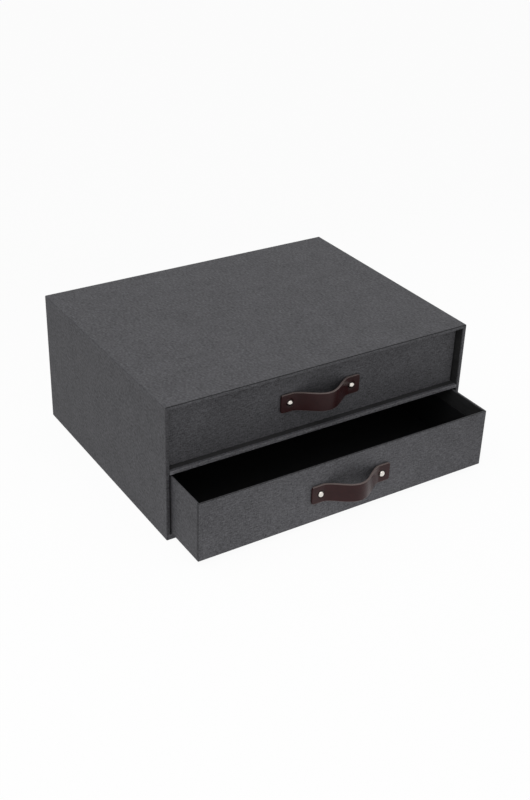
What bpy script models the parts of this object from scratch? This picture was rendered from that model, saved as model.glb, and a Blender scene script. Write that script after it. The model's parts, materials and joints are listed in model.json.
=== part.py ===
"""Document organizer: a paper-covered board case with two drawers, each drawn out by a leather strap.

X runs to the right, Y to the back and Z up, in metres. The origin is the centre of the case's underside.
The lower drawer stands a little way out, the upper one is pushed home.
"""

import math

import bmesh
import bpy
from mathutils import Matrix, Vector

# Case
CASE_WIDTH = 0.330
CASE_DEPTH = 0.2545
LOWER_BAY_HEIGHT = 0.0631
UPPER_BAY_HEIGHT = 0.0618
WALL_BOARD = 0.0035
BASE_BOARD = 0.0060
SHELF_BOARD = 0.0036
CASE_EDGE_RADIUS = 0.0009
SHELF_EDGE_RADIUS = 0.0012
SEAM_GAP = 0.0003

# Drawers
SIDE_PLAY = 0.0018
HEAD_PLAY = 0.0020
SLIDE_GAP = 0.0003
BACK_GAP = 0.0003
FRONT_RECESS = 0.0083
LOWER_DRAWER_PULL = 0.0560
DRAWER_BOARD = 0.0019
DRAWER_BOTTOM_BOARD = 0.0020
DRAWER_EDGE_RADIUS = 0.0006
LINING_PAPER = 0.0004
LINING_BELOW_RIM = 0.0180

# Strap handles
RIVET_SPACING = 0.0685
STRAP_END = 0.0095
STRAP_WIDTH = 0.0188
STRAP_THICKNESS = 0.0021
STRAP_CORNER_RADIUS = 0.0018
STRAP_EDGE_RADIUS = 0.0005
STRAP_BOW = 0.0158
STRAP_LEVEL = 0.0304

# Rivets
RIVET_HEAD_RADIUS = 0.0030
RIVET_HEAD_HEIGHT = 0.0019
RIVET_HEAD_RIM = 0.0004
RIVET_POST_RADIUS = 0.0014
RIVET_HOLE_PLAY = 0.0002
RIVET_CAP_RADIUS = 0.0034
RIVET_CAP_THICKNESS = 0.0013
RIVET_CAP_RIM = 0.0005
RIVET_CAP_WEB = 0.0004
RIVET_POST_END_GAP = 0.0003
CUT_OVERRUN = 0.004

# Counts and shapes without a length
BOARD_EDGE_STEPS = 3
STRAP_EDGE_STEPS = 3
STRAP_CORNER_STEPS = 4
STRAP_BOW_STEPS = 32
STRAP_BOW_POWER = 1.6
ROUND_SIDES = 28
DOME_STEPS = 6
SMOOTH_BELOW = math.radians(35)

# Colour, roughness and metallic value of each finish
LINEN_PAPER = ((0.085, 0.085, 0.088), 0.85, 0.0)
BLACK_PAPER = ((0.008, 0.008, 0.009), 0.9, 0.0)
BROWN_LEATHER = ((0.030, 0.014, 0.012), 0.5, 0.0)
NICKEL = ((0.66, 0.63, 0.58), 0.25, 1.0)

# The way that each face of a board looks
FACES = {
    "left": Vector((-1, 0, 0)),
    "right": Vector((1, 0, 0)),
    "front": Vector((0, -1, 0)),
    "back": Vector((0, 1, 0)),
    "bottom": Vector((0, 0, -1)),
    "top": Vector((0, 0, 1)),
}


def clear_scene():
    for obj in list(bpy.data.objects):
        bpy.data.objects.remove(obj, do_unlink=True)


def finish(name, look):
    """A material of the piece's own, from a colour, a roughness and a metallic value."""
    colour, roughness, metallic = look
    material = bpy.data.materials.new(name + "_finish")
    material.use_nodes = True
    shader = material.node_tree.nodes["Principled BSDF"]
    shader.inputs["Base Color"].default_value = (*colour, 1.0)
    shader.inputs["Roughness"].default_value = roughness
    shader.inputs["Metallic"].default_value = metallic
    material.diffuse_color = (*colour, 1.0)
    return material


def piece(name, shape, place, look, carrier=None):
    """Turns a bmesh into a named object at its place, carried by an empty if it has one."""
    bmesh.ops.recalc_face_normals(shape, faces=shape.faces)
    mesh = bpy.data.meshes.new(name)
    shape.to_mesh(mesh)
    shape.free()
    obj = bpy.data.objects.new(name, mesh)
    obj.location = place
    obj.parent = carrier
    bpy.context.scene.collection.objects.link(obj)
    mesh.materials.append(finish(name, look))
    return obj


def shade_round(obj):
    obj.data.shade_smooth()
    obj.data.set_sharp_from_angle(angle=SMOOTH_BELOW)


def on_face(edge, face):
    """Whether an edge of a cube around the origin lies on one of its faces."""
    return all(vertex.co.dot(FACES[face]) > 0 for vertex in edge.verts)


def board(name, low, high, rounded, radius, look, carrier=None):
    """A flat board between two opposite corners, round where the two faces of a rounded pair meet."""
    low = Vector(low)
    high = Vector(high)
    shape = bmesh.new()
    bmesh.ops.create_cube(shape, size=1.0)
    edges = [e for e in shape.edges if any(on_face(e, a) and on_face(e, b) for a, b in rounded)]
    bmesh.ops.scale(shape, vec=high - low, verts=shape.verts)
    thinnest = min(high - low)
    bmesh.ops.bevel(
        shape,
        geom=edges,
        offset=min(radius, thinnest / 3),
        segments=BOARD_EDGE_STEPS,
        profile=0.5,
        affect="EDGES",
    )
    return piece(name, shape, (low + high) / 2, look, carrier)


def turned(name, profile, place, look, carrier):
    """A round piece on a Y axis, from (radius, distance along Y) points that start and end on the axis."""
    shape = bmesh.new()
    points = [shape.verts.new((radius, along, 0)) for radius, along in profile]
    line = [shape.edges.new(pair) for pair in zip(points, points[1:])]
    bmesh.ops.spin(
        shape,
        geom=points + line,
        cent=(0, 0, 0),
        axis=(0, 1, 0),
        angle=math.tau,
        steps=ROUND_SIDES,
        use_merge=True,
    )
    bmesh.ops.remove_doubles(shape, verts=shape.verts, dist=RIVET_POST_RADIUS / 1000)
    obj = piece(name, shape, place, look, carrier)
    shade_round(obj)
    return obj


def cutter(name, shape, place, carrier):
    """A hidden helper that other pieces are cut with."""
    obj = piece(name, shape, place, NICKEL, carrier)
    obj.hide_render = True
    obj.display_type = "WIRE"
    return obj


def cut(obj, tool):
    modifier = obj.modifiers.new("Cut by " + tool.name, "BOOLEAN")
    modifier.operation = "DIFFERENCE"
    modifier.solver = "EXACT"
    modifier.object = tool


# Levels and inner faces of the case
LOWER_BAY_FLOOR = BASE_BOARD
SHELF_UNDERSIDE = LOWER_BAY_FLOOR + LOWER_BAY_HEIGHT
UPPER_BAY_FLOOR = SHELF_UNDERSIDE + SHELF_BOARD
TOP_UNDERSIDE = UPPER_BAY_FLOOR + UPPER_BAY_HEIGHT
CASE_HEIGHT = TOP_UNDERSIDE + WALL_BOARD
CASE_RIGHT = CASE_WIDTH / 2
CASE_BACK = CASE_DEPTH / 2
BAY_RIGHT = CASE_RIGHT - WALL_BOARD
BAY_BACK = CASE_BACK - WALL_BOARD

# Sizes of a drawer, from the case around it
DRAWER_WIDTH = 2 * (BAY_RIGHT - SIDE_PLAY)
DRAWER_DEPTH = BAY_BACK - BACK_GAP + CASE_BACK - FRONT_RECESS
DRAWER_RIGHT = DRAWER_WIDTH / 2
TRAY_RIGHT = DRAWER_RIGHT - DRAWER_BOARD
TRAY_FRONT = DRAWER_BOARD
TRAY_BACK = DRAWER_DEPTH - DRAWER_BOARD


def case_board(name, low, high, rounded, radius=CASE_EDGE_RADIUS):
    return board(name, low, high, rounded, radius, LINEN_PAPER)


def build_case_covers():
    """The base and the top, which run over the full plan of the case."""
    case_board(
        "case_base",
        (-CASE_RIGHT, -CASE_BACK, 0),
        (CASE_RIGHT, CASE_BACK, BASE_BOARD),
        [
            ("bottom", "left"),
            ("bottom", "right"),
            ("bottom", "front"),
            ("bottom", "back"),
            ("top", "front"),
            ("left", "front"),
            ("right", "front"),
            ("left", "back"),
            ("right", "back"),
        ],
    )
    case_board(
        "case_top",
        (-CASE_RIGHT, -CASE_BACK, TOP_UNDERSIDE),
        (CASE_RIGHT, CASE_BACK, CASE_HEIGHT),
        [
            ("top", "left"),
            ("top", "right"),
            ("top", "front"),
            ("top", "back"),
            ("bottom", "front"),
            ("left", "front"),
            ("right", "front"),
            ("left", "back"),
            ("right", "back"),
        ],
    )


def build_case_walls():
    """The side boards stand on the base under the top, and the back board closes the space between them."""
    wall_low = BASE_BOARD + SEAM_GAP
    wall_high = TOP_UNDERSIDE - SEAM_GAP
    case_board(
        "case_left_side",
        (-CASE_RIGHT, -CASE_BACK, wall_low),
        (-BAY_RIGHT, CASE_BACK, wall_high),
        [("left", "front"), ("right", "front"), ("left", "back")],
    )
    case_board(
        "case_right_side",
        (BAY_RIGHT, -CASE_BACK, wall_low),
        (CASE_RIGHT, CASE_BACK, wall_high),
        [("left", "front"), ("right", "front"), ("right", "back")],
    )
    case_board(
        "case_back",
        (-BAY_RIGHT + SEAM_GAP, BAY_BACK, wall_low),
        (BAY_RIGHT - SEAM_GAP, CASE_BACK, wall_high),
        [],
    )


def build_shelf():
    case_board(
        "middle_shelf",
        (-BAY_RIGHT + SEAM_GAP, -CASE_BACK, SHELF_UNDERSIDE),
        (BAY_RIGHT - SEAM_GAP, BAY_BACK - SEAM_GAP, UPPER_BAY_FLOOR),
        [("front", "top"), ("front", "bottom")],
        SHELF_EDGE_RADIUS,
    )


def drawer_board(name, low, high, rounded, carrier):
    return board(name, low, high, rounded, DRAWER_EDGE_RADIUS, LINEN_PAPER, carrier)


def build_drawer_walls(drawer, height, carrier):
    """The front and back boards cover the ends of the side boards. The front board is returned."""
    ends = [
        ("left", "front"),
        ("right", "front"),
        ("left", "back"),
        ("right", "back"),
        ("top", "front"),
        ("top", "back"),
        ("top", "left"),
        ("top", "right"),
        ("bottom", "front"),
        ("bottom", "back"),
        ("bottom", "left"),
        ("bottom", "right"),
    ]
    front = drawer_board(
        drawer + "_front",
        (-DRAWER_RIGHT, 0, 0),
        (DRAWER_RIGHT, TRAY_FRONT, height),
        ends,
        carrier,
    )
    drawer_board(
        drawer + "_back",
        (-DRAWER_RIGHT, TRAY_BACK, 0),
        (DRAWER_RIGHT, DRAWER_DEPTH, height),
        ends,
        carrier,
    )
    for side, near, far in (("left", -DRAWER_RIGHT, -TRAY_RIGHT), ("right", TRAY_RIGHT, DRAWER_RIGHT)):
        drawer_board(
            drawer + "_" + side + "_side",
            (near, TRAY_FRONT + SEAM_GAP, 0),
            (far, TRAY_BACK - SEAM_GAP, height),
            [("top", "left"), ("top", "right"), ("bottom", side)],
            carrier,
        )
    return front


def build_drawer_bottom(drawer, carrier):
    drawer_board(
        drawer + "_bottom",
        (-TRAY_RIGHT + SEAM_GAP, TRAY_FRONT + SEAM_GAP, 0),
        (TRAY_RIGHT - SEAM_GAP, TRAY_BACK - SEAM_GAP, DRAWER_BOTTOM_BOARD),
        [],
        carrier,
    )


def build_lining(drawer, height, carrier):
    """A folded tray of black paper that covers the inside of the drawer to just under its rim."""
    low = Vector((-TRAY_RIGHT + SEAM_GAP, TRAY_FRONT + SEAM_GAP, DRAWER_BOTTOM_BOARD + SEAM_GAP))
    high = Vector((TRAY_RIGHT - SEAM_GAP, TRAY_BACK - SEAM_GAP, height - LINING_BELOW_RIM))
    shape = bmesh.new()
    bmesh.ops.create_cube(shape, size=1.0)
    bmesh.ops.scale(shape, vec=high - low, verts=shape.verts)
    lid = [face for face in shape.faces if face.normal.z > 0.5]
    bmesh.ops.delete(shape, geom=lid, context="FACES_ONLY")
    obj = piece(drawer + "_lining", shape, (low + high) / 2, BLACK_PAPER, carrier)
    wall = obj.modifiers.new("Paper", "SOLIDIFY")
    wall.thickness = LINING_PAPER
    wall.offset = -1
    wall.use_even_offset = True
    return obj


def strap_stations():
    """Places along the strap from its left tip to its right one, with how far each outline is drawn in.

    Each is (x, inset of the width, inset of the section). The width draws in round the tip's corners. The
    section draws in at the very end, where the cut edge is rubbed round.
    """
    half_length = RIVET_SPACING / 2 + STRAP_END
    corner = min(STRAP_CORNER_RADIUS, STRAP_END / 2, STRAP_WIDTH / 3)
    edge = min(STRAP_EDGE_RADIUS, STRAP_THICKNESS / 3)
    runs = []
    for step in range(STRAP_EDGE_STEPS):
        angle = math.pi / 2 * step / STRAP_EDGE_STEPS
        runs.append((edge * (1 - math.cos(angle)), edge * (1 - math.sin(angle))))
    for step in range(STRAP_CORNER_STEPS + 1):
        runs.append((edge + (corner - edge) * step / STRAP_CORNER_STEPS, 0))
    tip = []
    for run, section_inset in runs:
        corner_inset = corner - math.sqrt(max(corner**2 - (corner - run) ** 2, 0))
        tip.append((half_length - run, corner_inset, section_inset))
    bow = []
    for step in range(STRAP_BOW_STEPS + 1):
        bow.append((strap_bow_end() * (2 * step / STRAP_BOW_STEPS - 1), 0, 0))
    left_tip = [(-x, width_inset, section_inset) for x, width_inset, section_inset in tip]
    return left_tip + bow + tip[::-1]


def strap_bow_end():
    """Half the length of the strap that stands off the drawer: it lies flat under the rivet heads."""
    return RIVET_SPACING / 2 - RIVET_HEAD_RADIUS


def strap_standoff(x):
    """How far the strap's middle bows away from the drawer at a distance x from its centre."""
    share = min(abs(x) / strap_bow_end(), 1)
    return STRAP_BOW * max(math.cos(math.pi / 2 * share), 0) ** STRAP_BOW_POWER


def strap_section(half_width, half_thickness, radius):
    """Points round the strap's section, as (across the thickness, along Z), with its four edges round."""
    points = []
    corners = ((1, 1), (-1, 1), (-1, -1), (1, -1))
    for quarter, (side, end) in enumerate(corners):
        for step in range(STRAP_EDGE_STEPS + 1):
            angle = math.pi / 2 * (quarter + step / STRAP_EDGE_STEPS)
            across = side * (half_thickness - radius) + radius * math.cos(angle)
            along = end * (half_width - radius) + radius * math.sin(angle)
            points.append((across, along))
    return points


def build_strap(drawer, carrier):
    """A leather strap swept along its bow, cut square to the sweep, flat at both ends."""
    edge = min(STRAP_EDGE_RADIUS, STRAP_THICKNESS / 3)
    small = STRAP_THICKNESS / 100
    shape = bmesh.new()
    rings = []
    for x, width_inset, section_inset in strap_stations():
        slope = (strap_standoff(x + small) - strap_standoff(x - small)) / (2 * small)
        outward = Vector((slope, 1, 0)).normalized()
        middle = Vector((x, -SEAM_GAP - STRAP_THICKNESS / 2 - strap_standoff(x), 0))
        section = strap_section(
            STRAP_WIDTH / 2 - width_inset - section_inset,
            STRAP_THICKNESS / 2 - section_inset,
            max(edge - section_inset, small),
        )
        points = [middle + outward * across + Vector((0, 0, along)) for across, along in section]
        rings.append([shape.verts.new(point) for point in points])
    for near, far in zip(rings, rings[1:]):
        for step in range(len(near)):
            shape.faces.new((near[step - 1], near[step], far[step], far[step - 1]))
    shape.faces.new(rings[0])
    shape.faces.new(rings[-1])
    strap = piece(drawer + "_strap", shape, (0, 0, STRAP_LEVEL), BROWN_LEATHER, carrier)
    shade_round(strap)
    return strap


def rivet_places():
    """Where the two rivets of a strap stand on the drawer's front, by side."""
    return {"left": (-RIVET_SPACING / 2, 0, STRAP_LEVEL), "right": (RIVET_SPACING / 2, 0, STRAP_LEVEL)}


def build_rivet_bores(drawer, carrier):
    """The cutter for the holes that both posts pass through."""
    length = 2 * (DRAWER_BOARD + STRAP_THICKNESS + CUT_OVERRUN)
    shape = bmesh.new()
    for x, _, z in rivet_places().values():
        bmesh.ops.create_cone(
            shape,
            cap_ends=True,
            segments=ROUND_SIDES,
            radius1=RIVET_POST_RADIUS + RIVET_HOLE_PLAY,
            radius2=RIVET_POST_RADIUS + RIVET_HOLE_PLAY,
            depth=length,
            matrix=Matrix.Translation((x, 0, z)) @ Matrix.Rotation(math.pi / 2, 4, "X"),
        )
    return cutter(drawer + "_rivet_bores", shape, (0, 0, 0), carrier)


def dome(radius, height, rim, direction, start):
    """Profile points of a domed face from its rim to the axis, rising along Y in the given direction."""
    points = [(radius, start), (radius, start + direction * rim)]
    for step in range(1, DOME_STEPS + 1):
        angle = math.pi / 2 * step / DOME_STEPS
        rise = rim + (height - rim) * math.sin(angle)
        points.append((radius * math.cos(angle) if step < DOME_STEPS else 0, start + direction * rise))
    return points


def build_rivet(drawer, side, place, carrier):
    """A rivet's domed head and post outside, and the cap that the post is set into inside the drawer."""
    under_head = -2 * SEAM_GAP - STRAP_THICKNESS
    cap_face = DRAWER_BOARD + 2 * SEAM_GAP + LINING_PAPER
    socket_end = cap_face + RIVET_CAP_THICKNESS - RIVET_CAP_WEB
    post_end = socket_end - RIVET_POST_END_GAP
    head = dome(RIVET_HEAD_RADIUS, RIVET_HEAD_HEIGHT, RIVET_HEAD_RIM, -1, under_head)
    post = [(0, post_end), (RIVET_POST_RADIUS, post_end), (RIVET_POST_RADIUS, under_head)]
    turned(drawer + "_" + side + "_rivet", post + head, place, NICKEL, carrier)
    socket_radius = RIVET_POST_RADIUS + RIVET_HOLE_PLAY
    socket = [(0, socket_end), (socket_radius, socket_end), (socket_radius, cap_face)]
    cap = dome(RIVET_CAP_RADIUS, RIVET_CAP_THICKNESS, RIVET_CAP_RIM, 1, cap_face)
    turned(drawer + "_" + side + "_rivet_cap", socket + cap, place, NICKEL, carrier)


def build_drawer(drawer, bay_floor, bay_height, pull):
    """A whole drawer on an empty that stands at the foot of its front face and slides along Y."""
    carrier = bpy.data.objects.new(drawer + "_slide", None)
    carrier.location = (0, -CASE_BACK + FRONT_RECESS - pull, bay_floor + SLIDE_GAP)
    bpy.context.scene.collection.objects.link(carrier)
    height = bay_height - SLIDE_GAP - HEAD_PLAY
    front = build_drawer_walls(drawer, height, carrier)
    build_drawer_bottom(drawer, carrier)
    lining = build_lining(drawer, height, carrier)
    strap = build_strap(drawer, carrier)
    bores = build_rivet_bores(drawer, carrier)
    for holed in (front, lining, strap):
        cut(holed, bores)
    for side, place in rivet_places().items():
        build_rivet(drawer, side, place, carrier)


def main():
    clear_scene()
    build_case_covers()
    build_case_walls()
    build_shelf()
    build_drawer("upper_drawer", UPPER_BAY_FLOOR, UPPER_BAY_HEIGHT, 0)
    build_drawer("lower_drawer", LOWER_BAY_FLOOR, LOWER_BAY_HEIGHT, LOWER_DRAWER_PULL)


main()
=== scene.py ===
"""Document organizer: the looks of its case, its two drawers and their strap handles, in metres."""

import json
import math

import bmesh
import bpy
from mathutils import Matrix, Vector


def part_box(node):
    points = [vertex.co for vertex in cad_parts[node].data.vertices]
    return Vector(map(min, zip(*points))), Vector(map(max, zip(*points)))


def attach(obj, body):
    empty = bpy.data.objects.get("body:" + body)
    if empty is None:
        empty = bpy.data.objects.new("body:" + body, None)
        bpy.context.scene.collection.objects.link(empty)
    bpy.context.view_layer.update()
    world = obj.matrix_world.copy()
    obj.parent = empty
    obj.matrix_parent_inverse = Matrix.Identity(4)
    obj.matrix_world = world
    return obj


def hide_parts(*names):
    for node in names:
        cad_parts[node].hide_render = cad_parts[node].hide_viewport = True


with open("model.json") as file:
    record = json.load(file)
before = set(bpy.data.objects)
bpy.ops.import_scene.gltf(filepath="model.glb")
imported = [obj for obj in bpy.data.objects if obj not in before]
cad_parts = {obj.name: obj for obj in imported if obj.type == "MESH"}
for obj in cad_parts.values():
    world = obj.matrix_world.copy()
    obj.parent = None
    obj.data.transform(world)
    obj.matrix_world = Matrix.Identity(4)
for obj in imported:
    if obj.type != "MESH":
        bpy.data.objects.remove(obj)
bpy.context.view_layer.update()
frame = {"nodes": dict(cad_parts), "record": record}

# The camera: its place, the way it looks, its tilt to one side and its lens
CAMERA_PLACE = Vector((-0.5657, -0.8968, 0.6450))
CAMERA_TURN = math.radians(33.035)
CAMERA_DROP = math.radians(29.856)
CAMERA_TILT = math.radians(1.959)
LENS_MM = 53.74
SENSOR_MM = 36.0

# The light: an even white surround and one broad lamp
SURROUND_LIGHT = 0.66
LAMP_PLACE = Vector((-0.40, -0.22, 1.22))
LAMP_TARGET = Vector((0, 0, 0.05))
LAMP_SIZE = 1.1
LAMP_POWER = 5.0

# The floor: how white it looks, and its paint, which is paler in front of the case than behind it
FLOOR_REACH = 4.0
FLOOR_WHITE_SHARE = 0.95
FLOOR_PALE_UP_TO = -0.02
FLOOR_DULL_FROM = 0.45
FLOOR_PALE_TONE = 0.9
FLOOR_DULL_TONE = 0.50

# A glow painted into the floor in front of the case, though no lamp is there, which throws soft light up at the
# drawers as a white card lying there would
FLOOR_GLOW_PLACE = (-0.01, -0.225, 0.0)
FLOOR_GLOW_REACH = 0.20
FLOOR_GLOW_STRENGTH = 1.05
FLOOR_GLOW_WIDENING = 0.7

# Covering paper and lining
PAPER = 0.0002
SHEET_MARGIN = 0.0035
CASE_CORNER = 0.0010
CASE_FOLD = 0.0009
BAY_FOLD = 0.0004
SHELF_FOLD = 0.0005
DRAWER_FOLD = 0.0006
WALL_TURN_IN = 0.0014
# The dark paper on the bays' floors starts this far behind the front edge; on the shelf this also paints the
# shade on the ledge in front of the upper drawer
FLOOR_LINING_SET_BACK = 0.0036
FOLD_REACH = 0.0007
BAY_CORNER = 0.0004
SHARPEST_CORNER = PAPER / 10
ARC_STEPS = 5

# How dark a fold is at its foot, sides and head, round its corners, and on the walls' front edges, where the
# darkness is painted shade
BAY_FOLDS = (0.2, 0.1, 0.1)
CASE_FRONT_FOLDS = (0.6, 0.1, 1.35)
CASE_BACK_FOLDS = (0.6, 0.6, 0.6)
CASE_CORNER_FOLD = 0.25
SHELF_FOLDS = (0.0, 0.0, 0.6)
DRAWER_OUTER_FOLDS = (0.5, 1.0, 1.1)
DRAWER_INNER_FOLDS = (0.5, 1.0, 1.3)
DRAWER_CORNER_FOLD = 0.5
# Painted shade on the walls' front edges, darker on the left one
LEFT_WALL_EDGE_SHADE = 0.55
RIGHT_WALL_EDGE_SHADE = 0.20

# Leather strap. A round edge takes up at most a share of half the leather's thickness
STRAP_LEATHER = 0.0021
STRAP_EDGE = 0.0006
STRAP_EDGE_MOST = 0.9
STRAP_TIP_CORNER = 0.0026
STRAP_BOW_POWER = 1.6
STRAP_TIP_EDGE_SHARE = 0.2
STRAP_LENGTH_STEPS = 120
STRAP_WIDTH_STEPS = 18
STRAP_SLOPE_STEP = STRAP_LEATHER / 50
DENT_REACH = 0.0046
DENT_DEPTH = 0.0004
DENT_FALL = 2.5

# Rivets
RIVET_SIDES = 64
RIVET_DOME_STEPS = 14
RIVET_RIM = 0.0004
RIVET_POST_SHARE = 0.45

# Angles under which neighbouring faces are shaded as one
BOARD_SMOOTH_DEGREES = 35
STRAP_SMOOTH_DEGREES = 50

# A face looks sideways, up or down when that part of its direction is above this share. The weave's
# threads lie so many times closer on such faces, along the sheet and across it
FACING_SHARE = 0.7
SIDE_WEAVE_ALONG = 1.2
SIDE_WEAVE_ACROSS = 0.62

# A cloud's values: their middle, and the range that most of them lie in
CLOUD_MIDDLE = 0.5
CLOUD_LOW = 0.3
CLOUD_HIGH = 0.7

# Weave: the drift of a thread's tone on its way, the patterns' scales in each direction, and their shares
WARP_DRIFT = 0.22
WEFT_DRIFT = 0.12
WARP_TONE_SCALE = 1.37
WEFT_TONE_SCALE = 1.61
SLUB_UP_SCALES = (600, 260, 9)
SLUB_ALONG_SCALES = (200, 720, 7)
FLECKS_A_METRE = 680.0
SLUB_UP_SHARE = 0.45
FLECK_SHARE = 1.1
THREAD_TONE_SHARE = 0.5
CROSSING_BLEND = 0.25
WARP_HEIGHT_SHARE = 0.5
COARSE_HEIGHT_SHARE = 1.2

# A fold's darkening: its patches a metre, the least that it shows, and how fast it fades
FOLD_PATCHES_A_METRE = 260.0
FOLD_LEAST_SHARE = 0.65
FOLD_FALL = 1.5

# Covering paper's finish. A relief is its depth in metres and its strength
LINEN_COLOUR = (0.0757, 0.0752, 0.0809)
LINEN_THREAD = 0.00062
LINEN_CONTRAST = 1.12
LINEN_SIDE_CONTRAST = 0.95 * LINEN_CONTRAST
LINEN_GLOSS = 0.12
LINEN_ROUGHNESS = 0.62
LINEN_CLOUD_SIZE = 0.018
LINEN_CLOUD_SHARE = 0.45
LINEN_DARKEST = 0.1
# How dark the folds are made at their darkest, as a share of the tone
FOLD_DARK_TONE = 0.20
# Painted highlight: how much lighter the edges that the mesh marks are made
HIGHLIGHT_TONE = 1.80
FOLD_ROUGHNESS_SHARE = -0.15
WEAVE_ROUGHNESS_SHARE = 0.08
LINEN_WEAVE_RELIEF = (0.00006, 0.8)
LINEN_CLOUD_RELIEF = (0.0006, 0.5)

# Black papers: the drawer linings' colour and fibres a metre, and those of the bands and the bays
LINING_COLOUR = (0.0085, 0.0085, 0.0092)
LINING_FIBRES = 1500.0
BAND_COLOUR = (0.026, 0.026, 0.027)
BAND_FIBRES = 240.0
BLACK_PAPER_GLOSS = 0.15
BLACK_CLOUD_SIZE = 0.04
BLACK_CLOUD_SHARE = 0.3
BLACK_FIBRE_SCALES = (0.3, 0.3, 1.0)
BLACK_TONES = (0.8, 1.2)
BLACK_ROUGHNESS = (0.8, 0.92)
BLACK_RELIEF = (0.00003, 0.6)

# Leather's finish
LEATHER_COLOUR = (0.0235, 0.0060, 0.0064)
CUT_EDGE_COLOUR = (0.135, 0.108, 0.103)
# The flesh side is kept dark: partly its own colour, partly painted shade that deepens the gap behind the bow
FLESH_COLOUR = (0.030, 0.016, 0.013)
LEATHER_GLOSS = 0.16
LEATHER_COAT = 0.03
LEATHER_COAT_ROUGHNESS = 0.3
LEATHER_GRAIN_SIZE = 0.0008
LEATHER_FIBRES = 2600.0
LEATHER_TONE_SHARE = 0.55
# Painted shade in the dents round the rivet heads: the share of the leather's tone left at the deepest
DENT_SHADE_TONE = 0.4
FIBRE_TONES = (0.7, 1.25)
FIBRE_EDGE_SHARE = 0.25
CUT_EDGE_RANGE = (0.45, 0.8)
LEATHER_HEIGHT_RANGE = (0.2, 1.3)
LEATHER_ROUGHNESS = (0.42, 0.30)
BARE_LEATHER_ROUGHNESS = 0.35
BARE_LEATHER_RELIEF = 0.6
FIBRE_RELIEF_DEPTH = 0.00008
LEATHER_RELIEF = (0.00009, 0.55)

# The leather's cells, creases, pores and unevenness: their scales, their ranges and their shares
CELL_BEND_SCALE = 0.6
CELL_REACH = 0.25
CREASE_SCALES = (1.3, 0.3, 0.16)
PORE_SCALE = 2.6
PORE_RANGE = (0.28, 0.36)
UNEVEN_SCALE = 0.12
CELL_HEIGHT = 0.5
CREASE_HEIGHT = 0.9
PORE_HEIGHT = 0.35
CREASE_TONE = 0.6

# Nickel's finish
NICKEL_COLOUR = (0.72, 0.685, 0.64)
SCRATCH_SCALES = ((9000, 300, 700), (500, 1100, 9000), (5200, 2600, 350))
SCRATCH_RANGE = (0.56, 0.7)
SCRATCH_TONE = -0.06
SCRATCH_ROUGHNESS = 0.12
HAZE_A_METRE = 700.0
NICKEL_TONES = (0.95, 1.05)
NICKEL_ROUGHNESS = (0.16, 0.26)
NICKEL_RELIEF = (0.00001, 0.5)


# Shader nodes

def add(tree, kind, inputs=None, **settings):
    """A new shader node with its options set, its inputs filled by values or by other nodes' outputs."""
    made = tree.nodes.new(kind)
    for option, value in settings.items():
        setattr(made, option, value)
    for socket, value in (inputs or {}).items():
        if isinstance(value, bpy.types.NodeSocket):
            tree.links.new(value, made.inputs[socket])
        else:
            made.inputs[socket].default_value = value
    return made


def calculate(tree, operation, first, second=0.0):
    return add(tree, "ShaderNodeMath", {0: first, 1: second}, operation=operation).outputs[0]


def plus(tree, first, second):
    return calculate(tree, "ADD", first, second)


def minus(tree, first, second):
    return calculate(tree, "SUBTRACT", first, second)


def times(tree, first, second):
    return calculate(tree, "MULTIPLY", first, second)


def plus_share(tree, value, other, share):
    """A value with a share of another one added."""
    inputs = {0: other, 1: share, 2: value}
    return add(tree, "ShaderNodeMath", inputs, operation="MULTIPLY_ADD").outputs[0]


def chosen(tree, mask, otherwise, value):
    """One value where the mask is 1, the other one where it is 0."""
    return plus_share(tree, otherwise, minus(tree, value, otherwise), mask)


def spread(tree, value, low=0.0, high=1.0, to_low=0.0, to_high=1.0):
    """The value's range from low to high, stretched over another range and held within it."""
    inputs = {"Value": value, "From Min": low, "From Max": high, "To Min": to_low, "To Max": to_high}
    return add(tree, "ShaderNodeMapRange", inputs, clamp=True).outputs["Result"]


def blended(tree, share, first, second):
    """The second colour laid over the first by a share."""
    made = add(tree, "ShaderNodeMix", {"Factor": share}, data_type="RGBA")
    tree.links.new(first, made.inputs[6])
    tree.links.new(second, made.inputs[7])
    return made.outputs[2]


def vector_of(tree, x, y, z=0.0):
    return add(tree, "ShaderNodeCombineXYZ", {0: x, 1: y, 2: z}).outputs[0]


def parts_of(tree, vector):
    return add(tree, "ShaderNodeSeparateXYZ", {0: vector}).outputs


def scaled(tree, vector, factor):
    """A place or a colour multiplied by one value."""
    return add(tree, "ShaderNodeVectorMath", {0: vector, 3: factor}, operation="SCALE").outputs[0]


def stretched(tree, place, scales):
    """A place with its three axes multiplied, so that a pattern read there is drawn out."""
    return add(tree, "ShaderNodeVectorMath", {0: place, 1: scales}, operation="MULTIPLY").outputs[0]


def cloud(tree, place, scale=1.0, detail=2.0, roughness=0.5):
    inputs = {"Vector": place, "Scale": scale, "Detail": detail, "Roughness": roughness}
    return add(tree, "ShaderNodeTexNoise", inputs).outputs["Fac"]


def cloud_around_zero(tree, place, scale=1.0, detail=2.0, roughness=0.5):
    return minus(tree, cloud(tree, place, scale, detail, roughness), CLOUD_MIDDLE)


def cloud_spread(tree, value, to_low, to_high):
    """The usual range of a cloud's values, stretched over another range and held within it."""
    return spread(tree, value, CLOUD_LOW, CLOUD_HIGH, to_low, to_high)


def attribute(tree, name):
    """A share that the mesh carries at each of its points."""
    return add(tree, "ShaderNodeAttribute", attribute_name=name).outputs["Fac"]


def bump(tree, height, distance, strength, normal=None):
    inputs = {"Height": height, "Distance": distance, "Strength": strength}
    if normal is not None:
        inputs["Normal"] = normal
    return add(tree, "ShaderNodeBump", inputs).outputs["Normal"]


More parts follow.
